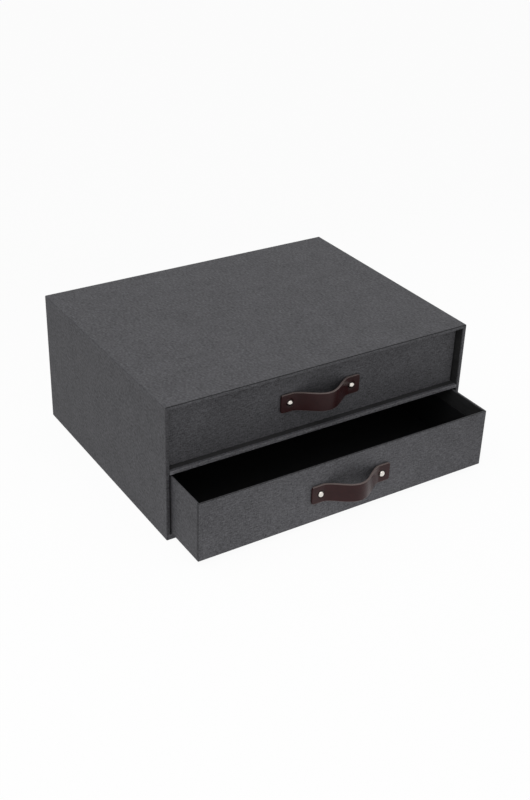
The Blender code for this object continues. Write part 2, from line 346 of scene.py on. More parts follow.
def new_group(name, takes, gives):
    """An empty shader node group with named inputs and outputs."""
    group = bpy.data.node_groups.new(name, "ShaderNodeTree")
    for label, kind, value in takes:
        socket = group.interface.new_socket(label, in_out="INPUT", socket_type=kind)
        if value is not None:
            socket.default_value = value
    for label, kind in gives:
        group.interface.new_socket(label, in_out="OUTPUT", socket_type=kind)
    return group, group.nodes.new("NodeGroupInput").outputs, group.nodes.new("NodeGroupOutput").inputs


def use_group(tree, group, inputs):
    return add(tree, "ShaderNodeGroup", inputs, node_tree=group).outputs


def make_sheet_place():
    """Where a point lies on its own flat sheet. Its two directions follow from the way the face looks."""
    group, takes, gives = new_group(
        "Sheet place",
        [("Place", "NodeSocketVector", None), ("Facing", "NodeSocketVector", None)],
        [("Sheet", "NodeSocketVector"), ("Side or level", "NodeSocketFloat")],
    )
    place = parts_of(group, takes["Place"])
    facing = parts_of(group, takes["Facing"])
    sideways = calculate(group, "GREATER_THAN", calculate(group, "ABSOLUTE", facing[0]), FACING_SHARE)
    upwards = calculate(group, "GREATER_THAN", calculate(group, "ABSOLUTE", facing[2]), FACING_SHARE)
    side_or_level = plus(group, sideways, upwards)
    along = chosen(group, side_or_level, place[0], place[1])
    across = chosen(group, upwards, place[2], place[0])
    layer = plus_share(group, sideways, upwards, 2.0)
    closer_along = spread(group, side_or_level, to_low=1.0, to_high=SIDE_WEAVE_ALONG)
    closer_across = spread(group, side_or_level, to_low=1.0, to_high=SIDE_WEAVE_ACROSS)
    closer = vector_of(group, closer_along, closer_across, 1.0)
    group.links.new(stretched(group, vector_of(group, along, across, layer), closer), gives["Sheet"])
    group.links.new(side_or_level, gives["Side or level"])
    return group


def make_linen_weave():
    """Linen-pressed paper: crossing threads, thick and thin, as a height and a tone around 0."""
    group, takes, gives = new_group(
        "Linen weave",
        [
            ("Sheet", "NodeSocketVector", None),
            ("Thread", "NodeSocketFloat", 0.0006),
            ("Slub", "NodeSocketFloat", 1.0),
        ],
        [("Height", "NodeSocketFloat"), ("Tone", "NodeSocketFloat")],
    )
    sheet = takes["Sheet"]
    threads = parts_of(group, scaled(group, sheet, calculate(group, "DIVIDE", 1.0, takes["Thread"])))
    warp_number = calculate(group, "FLOOR", threads[0])
    weft_number = calculate(group, "FLOOR", threads[1])
    warp_line = vector_of(group, warp_number, times(group, threads[1], WARP_DRIFT))
    weft_line = vector_of(group, times(group, threads[0], WEFT_DRIFT), weft_number)
    warp_tone = cloud_around_zero(group, warp_line, WARP_TONE_SCALE, detail=1.0)
    weft_tone = cloud_around_zero(group, weft_line, WEFT_TONE_SCALE, detail=1.0)
    slub_up = cloud_around_zero(group, stretched(group, sheet, SLUB_UP_SCALES), detail=1.5)
    slub_along = cloud_around_zero(group, stretched(group, sheet, SLUB_ALONG_SCALES), detail=1.5)
    fleck = cloud_around_zero(group, sheet, FLECKS_A_METRE, detail=1.0)
    slubs = plus_share(group, slub_along, slub_up, SLUB_UP_SHARE)
    coarse = times(group, plus_share(group, slubs, fleck, FLECK_SHARE), takes["Slub"])
    tone = plus_share(group, coarse, plus(group, warp_tone, weft_tone), THREAD_TONE_SHARE)
    group.links.new(tone, gives["Tone"])

    warp_round = calculate(group, "SINE", times(group, threads[0], math.pi))
    weft_round = calculate(group, "SINE", times(group, threads[1], math.pi))
    over = times(group, warp_round, weft_round)
    warp_over = spread(group, over, low=-CROSSING_BLEND, high=CROSSING_BLEND)
    warp_ridge = calculate(group, "ABSOLUTE", warp_round)
    weft_ridge = calculate(group, "ABSOLUTE", weft_round)
    ridge = calculate(group, "MAXIMUM", warp_ridge, weft_ridge)
    crossing = plus_share(group, ridge, warp_over, WARP_HEIGHT_SHARE)
    group.links.new(plus_share(group, crossing, coarse, COARSE_HEIGHT_SHARE), gives["Height"])
    return group


def make_handling():
    """Broad, faint clouds that a large sheet has from glue and from hands, around 0."""
    group, takes, gives = new_group(
        "Handling",
        [("Place", "NodeSocketVector", None), ("Size", "NodeSocketFloat", 0.05)],
        [("Clouds", "NodeSocketFloat")],
    )
    placed = scaled(group, takes["Place"], calculate(group, "DIVIDE", 1.0, takes["Size"]))
    group.links.new(cloud_around_zero(group, placed, detail=3.0, roughness=0.55), gives["Clouds"])
    return group


def make_fold_darkening():
    """How strongly a fold is darkened, from the mesh's share, a little broken up along its length."""
    group, takes, gives = new_group(
        "Fold darkening",
        [("Place", "NodeSocketVector", None), ("Fold", "NodeSocketFloat", 0.0)],
        [("Darkening", "NodeSocketFloat")],
    )
    uneven = cloud(group, takes["Place"], FOLD_PATCHES_A_METRE, detail=3.0, roughness=0.6)
    patches = cloud_spread(group, uneven, FOLD_LEAST_SHARE, 1.0)
    edge = calculate(group, "POWER", takes["Fold"], FOLD_FALL)
    group.links.new(times(group, edge, patches), gives["Darkening"])
    return group


def make_leather_grain():
    """Full-grain leather: small uneven cells, creases across it and pores, as a height and a tone."""
    group, takes, gives = new_group(
        "Leather grain",
        [("Place", "NodeSocketVector", None), ("Grain", "NodeSocketFloat", 0.0009)],
        [("Height", "NodeSocketFloat"), ("Tone", "NodeSocketFloat")],
    )
    placed = scaled(group, takes["Place"], calculate(group, "DIVIDE", 1.0, takes["Grain"]))
    bend = add(group, "ShaderNodeTexNoise", {"Vector": placed, "Scale": CELL_BEND_SCALE}).outputs["Color"]
    bent = add(group, "ShaderNodeVectorMath", {0: placed, 1: bend}, operation="ADD").outputs[0]
    cells = add(group, "ShaderNodeTexVoronoi", {"Vector": bent, "Scale": 1.0}, feature="DISTANCE_TO_EDGE")
    cell = spread(group, cells.outputs["Distance"], high=CELL_REACH)
    creases = cloud(group, stretched(group, placed, CREASE_SCALES), detail=4.0, roughness=0.6)
    pores = spread(group, cloud(group, placed, PORE_SCALE), *PORE_RANGE)
    height = plus_share(group, times(group, cell, CELL_HEIGHT), creases, CREASE_HEIGHT)
    group.links.new(plus_share(group, height, pores, PORE_HEIGHT), gives["Height"])
    uneven = cloud_around_zero(group, placed, UNEVEN_SCALE, detail=3.0)
    tone = plus_share(group, uneven, minus(group, creases, CLOUD_MIDDLE), CREASE_TONE)
    group.links.new(tone, gives["Tone"])
    return group


def make_fine_scratches():
    """Thin straight rub marks that cross each other on plated metal, 0 to 1."""
    group, takes, gives = new_group(
        "Fine scratches",
        [("Place", "NodeSocketVector", None)],
        [("Marks", "NodeSocketFloat")],
    )
    marks = 0.0
    for scales in SCRATCH_SCALES:
        lines = cloud(group, stretched(group, takes["Place"], scales))
        marks = calculate(group, "MAXIMUM", spread(group, lines, *SCRATCH_RANGE), marks)
    group.links.new(marks, gives["Marks"])
    return group


SHEET_PLACE = make_sheet_place()
LINEN_WEAVE = make_linen_weave()
HANDLING = make_handling()
FOLD_DARKENING = make_fold_darkening()
LEATHER_GRAIN = make_leather_grain()
FINE_SCRATCHES = make_fine_scratches()


# Materials

def new_material(name, shader_values):
    """A material, its node tree and its Principled shader with the constant values set."""
    material = bpy.data.materials.new(name)
    material.use_nodes = True
    tree = material.node_tree
    shader = tree.nodes["Principled BSDF"]
    for socket, value in shader_values.items():
        shader.inputs[socket].default_value = value
    return material, tree, shader


def linen_paper():
    """Dark linen-pressed covering paper, half matt, darker along its folds, with painted shade on the walls'
    front edges and a painted highlight on the edges that the mesh marks.
    """
    material, tree, shader = new_material("Linen covering paper", {"Specular IOR Level": LINEN_GLOSS})
    texture_place = add(tree, "ShaderNodeTexCoord").outputs
    place = texture_place["Object"]
    sheet = use_group(tree, SHEET_PLACE, {"Place": place, "Facing": texture_place["Normal"]})
    weave = use_group(tree, LINEN_WEAVE, {"Sheet": sheet["Sheet"], "Thread": LINEN_THREAD, "Slub": 1.0})
    clouds = use_group(tree, HANDLING, {"Place": place, "Size": LINEN_CLOUD_SIZE})["Clouds"]
    darkened = use_group(tree, FOLD_DARKENING, {"Place": place, "Fold": attribute(tree, "fold")})["Darkening"]

    side_or_level = sheet["Side or level"]
    contrast = spread(tree, side_or_level, to_low=LINEN_CONTRAST, to_high=LINEN_SIDE_CONTRAST)
    level = plus_share(tree, 1.0, weave["Tone"], contrast)
    level = plus_share(tree, level, clouds, LINEN_CLOUD_SHARE)
    # Darker along the folds by the fold share; on the walls' front edges this darkening is painted shade
    level = times(tree, level, spread(tree, darkened, to_low=1.0, to_high=FOLD_DARK_TONE))
    # Painted highlight on the edges that the mesh marks, such as the shelf's round front edge
    level = times(tree, level, spread(tree, attribute(tree, "painted_highlight"), to_low=1.0, to_high=HIGHLIGHT_TONE))
    level = calculate(tree, "MAXIMUM", level, LINEN_DARKEST)
    tree.links.new(scaled(tree, LINEN_COLOUR, level), shader.inputs["Base Color"])

    roughness = plus_share(tree, LINEN_ROUGHNESS, darkened, FOLD_ROUGHNESS_SHARE)
    roughness = plus_share(tree, roughness, weave["Tone"], WEAVE_ROUGHNESS_SHARE)
    tree.links.new(roughness, shader.inputs["Roughness"])
    woven = bump(tree, weave["Height"], *LINEN_WEAVE_RELIEF)
    tree.links.new(bump(tree, clouds, *LINEN_CLOUD_RELIEF, normal=woven), shader.inputs["Normal"])
    return material


def black_paper(name, colour, fibres):
    """Plain dark paper with a faint fibre that runs level, of so many fibres a metre."""
    material, tree, shader = new_material(name, {"Specular IOR Level": BLACK_PAPER_GLOSS})
    place = add(tree, "ShaderNodeTexCoord").outputs["Object"]
    fibre = cloud(tree, stretched(tree, place, BLACK_FIBRE_SCALES), fibres, detail=3.0, roughness=0.6)
    clouds = use_group(tree, HANDLING, {"Place": place, "Size": BLACK_CLOUD_SIZE})["Clouds"]
    level = plus_share(tree, cloud_spread(tree, fibre, *BLACK_TONES), clouds, BLACK_CLOUD_SHARE)
    tree.links.new(scaled(tree, colour, level), shader.inputs["Base Color"])
    tree.links.new(cloud_spread(tree, fibre, *BLACK_ROUGHNESS), shader.inputs["Roughness"])
    tree.links.new(bump(tree, fibre, *BLACK_RELIEF), shader.inputs["Normal"])
    return material


def brown_leather():
    """Dark brown strap leather: a half matt grain side, paler cut edges and a rough flesh side."""
    constants = {"Specular IOR Level": LEATHER_GLOSS, "Coat Roughness": LEATHER_COAT_ROUGHNESS}
    material, tree, shader = new_material("Brown strap leather", constants)
    place = add(tree, "ShaderNodeTexCoord").outputs["Object"]
    grain = use_group(tree, LEATHER_GRAIN, {"Place": place, "Grain": LEATHER_GRAIN_SIZE})
    flesh = attribute(tree, "flesh")
    fibre = cloud(tree, place, LEATHER_FIBRES, detail=3.0, roughness=0.65)

    level = plus_share(tree, 1.0, grain["Tone"], LEATHER_TONE_SHARE)
    # Painted shade in the dents round the rivet heads
    level = times(tree, level, spread(tree, attribute(tree, "darkened"), to_low=1.0, to_high=DENT_SHADE_TONE))
    fibre_level = cloud_spread(tree, fibre, *FIBRE_TONES)
    skin = scaled(tree, LEATHER_COLOUR, level)
    cut = scaled(tree, CUT_EDGE_COLOUR, fibre_level)
    # Flesh side: its dark colour is partly painted shade for the gap behind the bow
    back = scaled(tree, FLESH_COLOUR, fibre_level)
    broken_edge = plus_share(tree, attribute(tree, "cut_edge"), fibre, FIBRE_EDGE_SHARE)
    edge = spread(tree, broken_edge, *CUT_EDGE_RANGE)
    colour = blended(tree, edge, blended(tree, flesh, skin, back), cut)
    tree.links.new(colour, shader.inputs["Base Color"])

    bare = calculate(tree, "MAXIMUM", edge, flesh)
    roughness = spread(tree, grain["Height"], *LEATHER_HEIGHT_RANGE, *LEATHER_ROUGHNESS)
    roughness = plus_share(tree, roughness, bare, BARE_LEATHER_ROUGHNESS)
    tree.links.new(roughness, shader.inputs["Roughness"])
    tree.links.new(times(tree, minus(tree, 1.0, bare), LEATHER_COAT), shader.inputs["Coat Weight"])
    grained = bump(tree, grain["Height"], *LEATHER_RELIEF)
    fibrous = bump(tree, fibre, FIBRE_RELIEF_DEPTH, times(tree, bare, BARE_LEATHER_RELIEF), grained)
    tree.links.new(fibrous, shader.inputs["Normal"])
    return material


def nickel():
    """Bright nickel plate with fine rub marks."""
    material, tree, shader = new_material("Nickel plate", {"Metallic": 1.0})
    place = add(tree, "ShaderNodeTexCoord").outputs["Object"]
    marks = use_group(tree, FINE_SCRATCHES, {"Place": place})["Marks"]
    haze = cloud(tree, place, HAZE_A_METRE)
    level = plus_share(tree, cloud_spread(tree, haze, *NICKEL_TONES), marks, SCRATCH_TONE)
    tree.links.new(scaled(tree, NICKEL_COLOUR, level), shader.inputs["Base Color"])
    roughness = plus_share(tree, cloud_spread(tree, haze, *NICKEL_ROUGHNESS), marks, SCRATCH_ROUGHNESS)
    tree.links.new(roughness, shader.inputs["Roughness"])
    tree.links.new(bump(tree, marks, *NICKEL_RELIEF), shader.inputs["Normal"])
    return material


LINEN = linen_paper()
LINING = black_paper("Black lining paper", LINING_COLOUR, LINING_FIBRES)
LEATHER = brown_leather()
NICKEL = nickel()
BAND = black_paper("Dark turn-in paper", BAND_COLOUR, BAND_FIBRES)


# Meshes

def finish_mesh(obj, body, slot, material, *nodes):
    """Gives a new piece its material and its body, and hides the CAD nodes that it stands for, if any."""
    obj.data.materials.append(material)
    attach(obj, body)
    if nodes:
        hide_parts(*nodes)


def new_object(name, shape, smooth_degrees=BOARD_SMOOTH_DEGREES):
    """A scene object from a finished bmesh, shaded smooth across its gentle edges."""
    bmesh.ops.recalc_face_normals(shape, faces=shape.faces)
    mesh = bpy.data.meshes.new(name)
    shape.to_mesh(mesh)
    shape.free()
    mesh.shade_smooth()
    mesh.set_sharp_from_angle(angle=math.radians(smooth_degrees))
    obj = bpy.data.objects.new(name, mesh)
    bpy.context.scene.collection.objects.link(obj)
    return obj


def join_rows(shape, rows):
    """Joins each row of vertices to the next by faces, and closes both ends."""
    for near, far in zip(rows, rows[1:]):
        for step in range(len(near)):
            shape.faces.new((near[step - 1], near[step], far[step], far[step - 1]))
    shape.faces.new(rows[0])
    shape.faces.new(rows[-1])


def skin_loops(name, loops, highlight_loops=()):
    """A closed mesh from loops of (point, fold share) pairs. Loops with the given numbers carry a painted
    highlight.
    """
    shape = bmesh.new()
    fold = shape.verts.layers.float.new("fold")
    painted_highlight = shape.verts.layers.float.new("painted_highlight")
    rows = []
    for number, loop in enumerate(loops):
        row = []
        for point, share in loop:
            vertex = shape.verts.new(point)
            vertex[fold] = share
            vertex[painted_highlight] = 1.0 if number in highlight_loops else 0.0
            row.append(vertex)
        rows.append(row)
    join_rows(shape, rows)
    return new_object(name, shape)


def quarter_arc():
    """The angles of a quarter turn in even steps, from 0 on."""
    return [math.pi / 2 * step / ARC_STEPS for step in range(ARC_STEPS + 1)]


def upright_loop(y, sides, corner, fold_shares, corner_share=0.0):
    """A round-cornered rectangle at a depth y, as (point, fold share) pairs.

    Its sides are left, right, foot and head. Its fold shares are those of its foot, left, right and head.
    """
    left, right, foot, head = sides
    foot_share, left_share, right_share, head_share = fold_shares
    corner = max(corner, SHARPEST_CORNER)
    width_reach = min(FOLD_REACH, (right - left - 2 * corner) / 3)
    height_reach = min(FOLD_REACH, (head - foot - 2 * corner) / 3)
    reach = Vector((width_reach, 0, height_reach))
    quarters = (
        (right, foot, -1, 1, -90, foot_share, right_share),
        (right, head, -1, -1, 0, right_share, head_share),
        (left, head, 1, -1, 90, head_share, left_share),
        (left, foot, 1, 1, 180, left_share, foot_share),
    )
    loop = []
    for x, z, inward, upward, start, share_before, share_after in quarters:
        centre = Vector((x + inward * corner, y, z + upward * corner))
        first = math.radians(start)
        last = first + math.pi / 2
        arc = []
        for turn in quarter_arc():
            angle = first + turn
            arc.append(centre + corner * Vector((math.cos(angle), 0, math.sin(angle))))
        before = Vector((math.sin(first), 0, -math.cos(first)))
        after = Vector((-math.sin(last), 0, math.cos(last)))
        loop.append((arc[0] + before * reach, share_before))
        for step, point in enumerate(arc):
            along = step / ARC_STEPS
            share = share_before + (share_after - share_before) * along
            loop.append((point, max(share, corner_share * math.sin(math.pi * along))))
        loop.append((arc[-1] + after * reach, share_after))
    return loop


def drawn_in_sides(low, high, drawn_in):
    """The left, right, foot and head of a box, each drawn in by the same distance."""
    return (low.x + drawn_in, high.x - drawn_in, low.z + drawn_in, high.z - drawn_in)


def fold_rings(radius, outward):
    """Steps round a quarter fold: how far in and how far on each one lies, and its fold share."""
    rings = []
    for angle in quarter_arc():
        drawn_in = radius * (1 - math.cos(angle))
        forward = radius * math.sin(angle)
        rings.append((drawn_in, forward, math.sin(2 * angle)))
    return rings if outward else rings[::-1]


def shares_of(folds, arris, face=0.0):
    """The fold shares of a loop's foot, left, right and head, from how near it lies to the fold's arris.

    On the front edges of the case's walls, face says how far round the loop lies, and there the darkness is
    painted shade.
    """
    foot, side, head = folds
    left = max(side * arris, LEFT_WALL_EDGE_SHADE * face)
    right = max(side * arris, RIGHT_WALL_EDGE_SHADE * face)
    return (foot * arris, left, right, head * arris)


def make_case_shell():
    """The case in one cover: from the bays' back forward, round the front edge and back outside."""
    low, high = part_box("case_base")[0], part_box("case_top")[1]
    bay_low = Vector((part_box("case_left_side")[1].x, low.y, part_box("case_base")[1].z))
    bay_high = Vector((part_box("case_right_side")[0].x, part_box("case_back")[0].y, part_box("case_top")[0].z))
    cover_low = low + Vector((0, 0, PAPER))
    back = high.y - PAPER
    loops = []

    def bay_loop(y, pushed_out, arris, face=0.0):
        sides = drawn_in_sides(bay_low, bay_high, -pushed_out)
        loops.append(upright_loop(y, sides, BAY_CORNER + pushed_out, shares_of(BAY_FOLDS, arris, face)))

    def outer_loop(y, drawn_in, folds, arris, face=0.0):
        corner = max(CASE_CORNER - drawn_in / 2, BAY_CORNER)
        sides = drawn_in_sides(cover_low, high, drawn_in)
        loops.append(upright_loop(y, sides, corner, shares_of(folds, arris, face), CASE_CORNER_FOLD))

    bay_loop(bay_high.y, 0, 0)
    bay_loop(low.y + CASE_FOLD + FOLD_REACH, 0, 0)
    for pushed_out, forward, arris in fold_rings(BAY_FOLD, outward=True):
        bay_loop(low.y + BAY_FOLD - forward, pushed_out, arris, forward / BAY_FOLD)
    for drawn_in, forward, arris in fold_rings(CASE_FOLD, outward=False):
        outer_loop(low.y + CASE_FOLD - forward, drawn_in, CASE_FRONT_FOLDS, arris, forward / CASE_FOLD)
    outer_loop(low.y + CASE_FOLD + FOLD_REACH, 0, CASE_FRONT_FOLDS, 0)
    outer_loop(back - CASE_FOLD - FOLD_REACH, 0, CASE_BACK_FOLDS, 0)
    for drawn_in, forward, arris in fold_rings(CASE_FOLD, outward=True):
        outer_loop(back - CASE_FOLD + forward, drawn_in, CASE_BACK_FOLDS, arris)
    outer_loop(back, CASE_FOLD + FOLD_REACH, CASE_BACK_FOLDS, 0)
    shell = skin_loops("case_shell", loops)
    nodes = ("case_base", "case_top", "case_left_side", "case_right_side", "case_back")
    finish_mesh(shell, "case", "linen_paper_board", LINEN, *nodes)


def make_thin_sheets(name, sheets, body, slot, material):
    """Flat sheets of paper joined in one piece, each given by its lowest and its highest corner."""
    shape = bmesh.new()
    for low, high in sheets:
        made = bmesh.ops.create_cube(shape, size=1.0)["verts"]
        bmesh.ops.scale(shape, vec=high - low, verts=made)
        bmesh.ops.translate(shape, vec=(low + high) / 2, verts=made)
    finish_mesh(new_object(name, shape), body, slot, material)


def make_case_sheets():
    """The separate sheets on the back and the underside, each set in from the edges by a margin."""
    low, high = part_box("case_base")[0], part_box("case_top")[1]
    inset = Vector((SHEET_MARGIN, 0, SHEET_MARGIN))
    back = (Vector((low.x, high.y - PAPER, low.z)) + inset, high - inset)
    make_thin_sheets("case_back_sheet", [back], "case", "linen_paper_board", LINEN)
    inset = Vector((SHEET_MARGIN, SHEET_MARGIN, 0))
    base = (low + inset, Vector((high.x, high.y, low.z + PAPER)) - inset)
    make_thin_sheets("case_base_sheet", [base], "case", "linen_paper_board", LINEN)


def make_bay_lining(bay, floor, ceiling):
    """Dark paper on one bay's floor, ceiling, walls and back, from just behind the front folds. On the shelf it
    lies so far forward that it also paints the shade on the ledge in front of the upper drawer.
    """
    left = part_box("case_left_side")[1].x
    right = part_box("case_right_side")[0].x
    front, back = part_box("case_base")[0].y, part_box("case_back")[0].y
    floor_front = front + FLOOR_LINING_SET_BACK
    wall_front = front + WALL_TURN_IN
    sheets = (
        (Vector((left, floor_front, floor)), Vector((right, back, floor + PAPER))),
        (Vector((left, wall_front, ceiling - PAPER)), Vector((right, back, ceiling))),
        (Vector((left, wall_front, floor)), Vector((left + PAPER, back, ceiling))),
        (Vector((right - PAPER, wall_front, floor)), Vector((right, back, ceiling))),
        (Vector((left, back - PAPER, floor)), Vector((right, back, ceiling))),
    )
    make_thin_sheets(bay + "_lining", sheets, "case", "black_lining_paper", BAND)


def make_rim_band(drawer):
    """The turned-in edge of a drawer's cover: a dark band inside, between the rim and the lining."""
    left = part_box(drawer + "_left_side")[1].x
    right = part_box(drawer + "_right_side")[0].x
    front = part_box(drawer + "_front")[1].y
    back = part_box(drawer + "_back")[0].y
    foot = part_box(drawer + "_lining")[1].z - PAPER
    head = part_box(drawer + "_front")[1].z - DRAWER_FOLD - PAPER
    sheets = (
        (Vector((left, front, foot)), Vector((left + PAPER, back, head))),
        (Vector((right - PAPER, front, foot)), Vector((right, back, head))),
        (Vector((left + PAPER, front, foot)), Vector((right - PAPER, front + PAPER, head))),
        (Vector((left + PAPER, back - PAPER, foot)), Vector((right - PAPER, back, head))),
    )
    make_thin_sheets(drawer + "_rim_band", sheets, drawer, "black_lining_paper", BAND)


def make_shelf_cover():
    """The middle shelf wrapped in paper. Its front and back edges are round, its front edge carries a painted
    highlight.
    """
    low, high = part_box("middle_shelf")
    loops = []

    def ring(y, drawn_in, arris=0.0):
        corner = max(SHELF_FOLD - drawn_in / 2, PAPER)
        sides = (low.x, high.x, low.z + drawn_in, high.z - drawn_in)
        loops.append(upright_loop(y, sides, corner, shares_of(SHELF_FOLDS, arris)))

    for drawn_in, forward, arris in fold_rings(SHELF_FOLD, outward=False):
        ring(low.y + SHELF_FOLD - forward, drawn_in, arris)
    ring(low.y + SHELF_FOLD + FOLD_REACH, 0)
    ring(high.y - SHELF_FOLD - FOLD_REACH, 0)
    for drawn_in, forward, _ in fold_rings(SHELF_FOLD, outward=True):
        ring(high.y - SHELF_FOLD + forward, drawn_in)
    cover = skin_loops("middle_shelf_cover", loops, highlight_loops=range(ARC_STEPS + 1))
    finish_mesh(cover, "case", "linen_paper_board", LINEN, "middle_shelf")


def make_front_panel(drawer):
    """A drawer's front board, wrapped: its broad faces are flat, and its edges are folded over."""
    node = drawer + "_front"
    low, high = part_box(node)
    loops = []

    def ring(y, drawn_in, folds, arris):
        corner = max(DRAWER_FOLD - drawn_in / 2, PAPER)
        sides = drawn_in_sides(low, high, drawn_in)
        loops.append(upright_loop(y, sides, corner, shares_of(folds, arris), DRAWER_CORNER_FOLD * arris))

    ring(low.y, DRAWER_FOLD + FOLD_REACH, DRAWER_OUTER_FOLDS, 0)
    for drawn_in, forward, arris in fold_rings(DRAWER_FOLD, outward=False):
        ring(low.y + DRAWER_FOLD - forward, drawn_in, DRAWER_OUTER_FOLDS, arris)
    for drawn_in, forward, _ in fold_rings(DRAWER_FOLD, outward=True):
        ring(high.y - DRAWER_FOLD + forward, drawn_in, DRAWER_INNER_FOLDS, 1.0)
    ring(high.y, DRAWER_FOLD + FOLD_REACH, DRAWER_INNER_FOLDS, 1.0)
    panel = skin_loops(node + "_cover", loops)
    finish_mesh(panel, drawer, "linen_paper_board", LINEN, node)


def strap_stations(half_length):
    """Places along the strap from its left tip to its right, each with how far the tip is drawn in."""
    tip = []
    for angle in quarter_arc():
        drawn_in = STRAP_EDGE * (1 - math.sin(angle))
        tip.append((-half_length + STRAP_EDGE * (1 - math.cos(angle)), drawn_in))
    middle = []
    for step in range(1, STRAP_LENGTH_STEPS):
        along = (2 * half_length - 2 * STRAP_EDGE) * step / STRAP_LENGTH_STEPS
        middle.append((-half_length + STRAP_EDGE + along, 0.0))
    return tip + middle + [(-x, drawn_in) for x, drawn_in in reversed(tip)]


def strap_section(half_thick, half_width):
    """The strap's section as (outward, upward, cut edge share, flesh share), from the grain side on."""
    radius = min(STRAP_EDGE, half_thick * STRAP_EDGE_MOST)
    flat = half_width - radius
    levels = [flat * (1 - 2 * step / STRAP_WIDTH_STEPS) for step in range(STRAP_WIDTH_STEPS + 1)]
    edge = []
    for step in range(1, ARC_STEPS * 2):
        angle = math.pi * step / (ARC_STEPS * 2)
        outward = (half_thick - radius) * math.copysign(1, math.cos(angle)) + radius * math.cos(angle)
        edge.append((outward, -(flat + radius * math.sin(angle))))
    section = [(half_thick, upward, 0.0, 0.0) for upward in levels]
    section += [(outward, upward, 1.0, 0.0) for outward, upward in edge]
    section += [(-half_thick, -upward, 0.0, 1.0) for upward in levels]
    section += [(-outward, -upward, 1.0, 0.0) for outward, upward in edge]
    return section


def dent_at(point, rivets, head_radius):
    """How strongly the rivet heads press the leather in at a point, 0 to 1."""
    deepest = 0.0
    for rivet in rivets:
        away = math.hypot(point.x - rivet.x, point.z - rivet.z)
        share = max(away - head_radius, 0) / (DENT_REACH - head_radius)
        deepest = max(deepest, math.exp(-DENT_FALL * share**2))
    return deepest


def tip_corner_inset(run):
    """How far the strap's side is drawn in at a distance from its tip, for its round corners."""
    if run >= STRAP_TIP_CORNER:
        return 0.0
    return STRAP_TIP_CORNER - math.sqrt(STRAP_TIP_CORNER**2 - (STRAP_TIP_CORNER - run) ** 2)


def standoff(x, bow, bow_end):
    """How far the strap stands off its board at a distance x from its middle."""
    share = min(abs(x) / bow_end, 1)
    return bow * max(math.cos(math.pi / 2 * share), 0) ** STRAP_BOW_POWER


def grain_side_way(x, bow, bow_end):
    """The way that the strap's grain side looks at a distance x from its middle."""
    before = standoff(x - STRAP_SLOPE_STEP, bow, bow_end)
    after = standoff(x + STRAP_SLOPE_STEP, bow, bow_end)
    return Vector((-(after - before) / (2 * STRAP_SLOPE_STEP), -1, 0)).normalized()


def make_strap(drawer):
    """A strap of thick leather, bowed out between its rivets, with round cut edges and pressed dents."""
    node = drawer + "_strap"
    low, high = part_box(node)
    rivet_boxes = [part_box(drawer + "_" + side + "_rivet") for side in ("left", "right")]
    rivets = [(lowest + highest) / 2 for lowest, highest in rivet_boxes]
    head_radius = (rivet_boxes[0][1].x - rivet_boxes[0][0].x) / 2
    centre = (low + high) / 2
    half_length = (high.x - low.x) / 2
    half_width = (high.z - low.z) / 2
    bow = high.y - low.y - STRAP_LEATHER
    bow_end = abs(rivets[1].x - centre.x) - head_radius
    shape = bmesh.new()
    cut_edge = shape.verts.layers.float.new("cut_edge")
    flesh = shape.verts.layers.float.new("flesh")
    # The dent's share at each point, which darkens the leather there as painted shade
    darkened = shape.verts.layers.float.new("darkened")
    rows = []
    for x, drawn_in in strap_stations(half_length):
        outward = grain_side_way(x, bow, bow_end)
        depth = high.y - STRAP_LEATHER / 2 - standoff(x, bow, bow_end)
        middle = Vector((centre.x + x, depth, centre.z))
        run = half_length - abs(x)
        width = half_width - tip_corner_inset(run) - drawn_in
        row = []
        for out, up, edge_share, flesh_share in strap_section(STRAP_LEATHER / 2 - drawn_in, width):
            point = middle + outward * out + Vector((0, 0, up))
            on_grain_side = edge_share == 0 and flesh_share == 0
            dent = dent_at(point, rivets, head_radius) if on_grain_side else 0.0
            vertex = shape.verts.new(point - outward * DENT_DEPTH * dent)
            vertex[cut_edge] = STRAP_TIP_EDGE_SHARE if run < STRAP_TIP_CORNER / 2 else edge_share
            vertex[flesh] = flesh_share
            vertex[darkened] = dent
            row.append(vertex)
        rows.append(row)
    join_rows(shape, rows)
    strap = new_object(node + "_leather", shape, STRAP_SMOOTH_DEGREES)
    finish_mesh(strap, drawer, "brown_leather", LEATHER, node)


def turned(name, profile, centre):
    """A round piece about a Y axis through its centre, from (radius, y) points from axis to axis."""
    shape = bmesh.new()
    rows = []
    for step in range(RIVET_SIDES):
        angle = math.tau * step / RIVET_SIDES
        way = Vector((math.cos(angle), 0, math.sin(angle)))
        places = [centre + way * radius + Vector((0, y, 0)) for radius, y in profile[1:-1]]
        rows.append([shape.verts.new(place) for place in places])
    ends = [shape.verts.new(centre + Vector((0, y, 0))) for _, y in (profile[0], profile[-1])]
    for step in range(RIVET_SIDES):
        near, far = rows[step - 1], rows[step]
        shape.faces.new((ends[0], near[0], far[0]))
        shape.faces.new((ends[1], far[-1], near[-1]))
        for place in range(len(near) - 1):
            shape.faces.new((near[place], near[place + 1], far[place + 1], far[place]))
    return new_object(name, shape)


def domed(radius, foot, rise, direction):
    """Profile of a domed head from its foot, with a rolled rim, out along Y in one direction."""
    points = [
        (radius - RIVET_RIM / 2, foot),
        (radius, foot + direction * RIVET_RIM / 2),
        (radius, foot + direction * RIVET_RIM),
    ]
    for step in range(1, RIVET_DOME_STEPS + 1):
        angle = math.pi / 2 * step / RIVET_DOME_STEPS
        y = foot + direction * (RIVET_RIM + (rise - RIVET_RIM) * math.sin(angle))
        points.append((radius * math.cos(angle) if step < RIVET_DOME_STEPS else 0.0, y))
    return points


